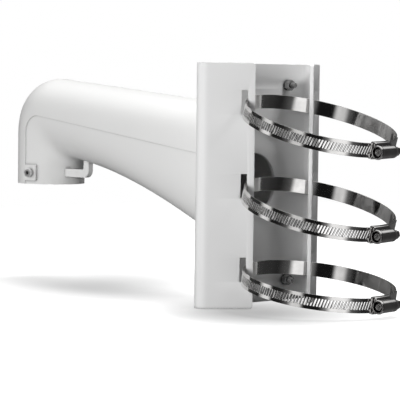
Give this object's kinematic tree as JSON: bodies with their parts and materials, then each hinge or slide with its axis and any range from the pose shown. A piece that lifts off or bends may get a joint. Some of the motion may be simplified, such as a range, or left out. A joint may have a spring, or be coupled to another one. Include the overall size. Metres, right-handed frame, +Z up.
{
  "type": "camera pole mount bracket",
  "caption": "Cast gooseneck camera arm bolted to a folded channel, with worm-drive hose clamps that strap the channel to a pole.",
  "frame": {"origin": "on the axis of the pole's place, at the channel's mid height", "axes": "+Z up along the pole, -Y out along the arm, +X towards the side with the camera lock screw"},
  "size_m": [0.1694, 0.5655, 0.25],
  "materials": {
    "cast_paint": "light grey textured paint on cast aluminium",
    "sheet_paint": "light grey satin paint on folded steel plate",
    "strap_steel": "polished stainless strip, perforated",
    "housing_steel": "pressed stainless",
    "worm_steel": "turned stainless",
    "lock_screw_steel": "stainless socket screw",
    "dark_bolt": "dark zinc",
    "zinc": "bright zinc"
  },
  "bodies": {
    "bracket": {"arm_casting": "cast_paint", "pole_channel": "sheet_paint", "bolt_1": "dark_bolt", "bolt_2": "dark_bolt", "bolt_3": "dark_bolt", "bolt_4": "dark_bolt", "flat_washer_1": "zinc", "flat_washer_2": "zinc", "flat_washer_3": "zinc", "flat_washer_4": "zinc", "spring_washer_1": "zinc", "spring_washer_2": "zinc", "spring_washer_3": "zinc", "spring_washer_4": "zinc", "nut_1": "dark_bolt", "nut_2": "dark_bolt", "nut_3": "dark_bolt", "nut_4": "dark_bolt", "clamp_strap_top": "strap_steel", "clamp_strap_middle": "strap_steel", "clamp_strap_bottom": "strap_steel", "screw_housing_top": "housing_steel", "screw_housing_middle": "housing_steel", "screw_housing_bottom": "housing_steel"},
    "lock_screw": {"camera_lock_screw": "lock_screw_steel"},
    "top_worm": {"worm_screw_top": "worm_steel"},
    "middle_worm": {"worm_screw_middle": "worm_steel"},
    "bottom_worm": {"worm_screw_bottom": "worm_steel"}
  },
  "joints": [
    {"name": "top_worm_turn", "type": "hinge", "parent": "bracket", "child": "top_worm", "pos_m": [-0.00891, 0.07942, 0.03834], "axis": [-0.9945, -0.1, 0.0306], "continuous": true},
    {"name": "middle_worm_turn", "type": "hinge", "parent": "bracket", "child": "middle_worm", "pos_m": [-0.00891, 0.08014, -0.04425], "axis": [-0.9945, -0.1005, 0.0288], "continuous": true},
    {"name": "bottom_worm_turn", "type": "hinge", "parent": "bracket", "child": "bottom_worm", "pos_m": [-0.00891, 0.08378, -0.11332], "axis": [-0.9945, -0.1031, 0.0173], "continuous": true},
    {"name": "lock_screw_turn", "type": "hinge", "parent": "bracket", "child": "lock_screw", "pos_m": [0, -0.434, -0.0011], "axis": [0.9703, 0.2419, 0], "continuous": true}
  ]
}
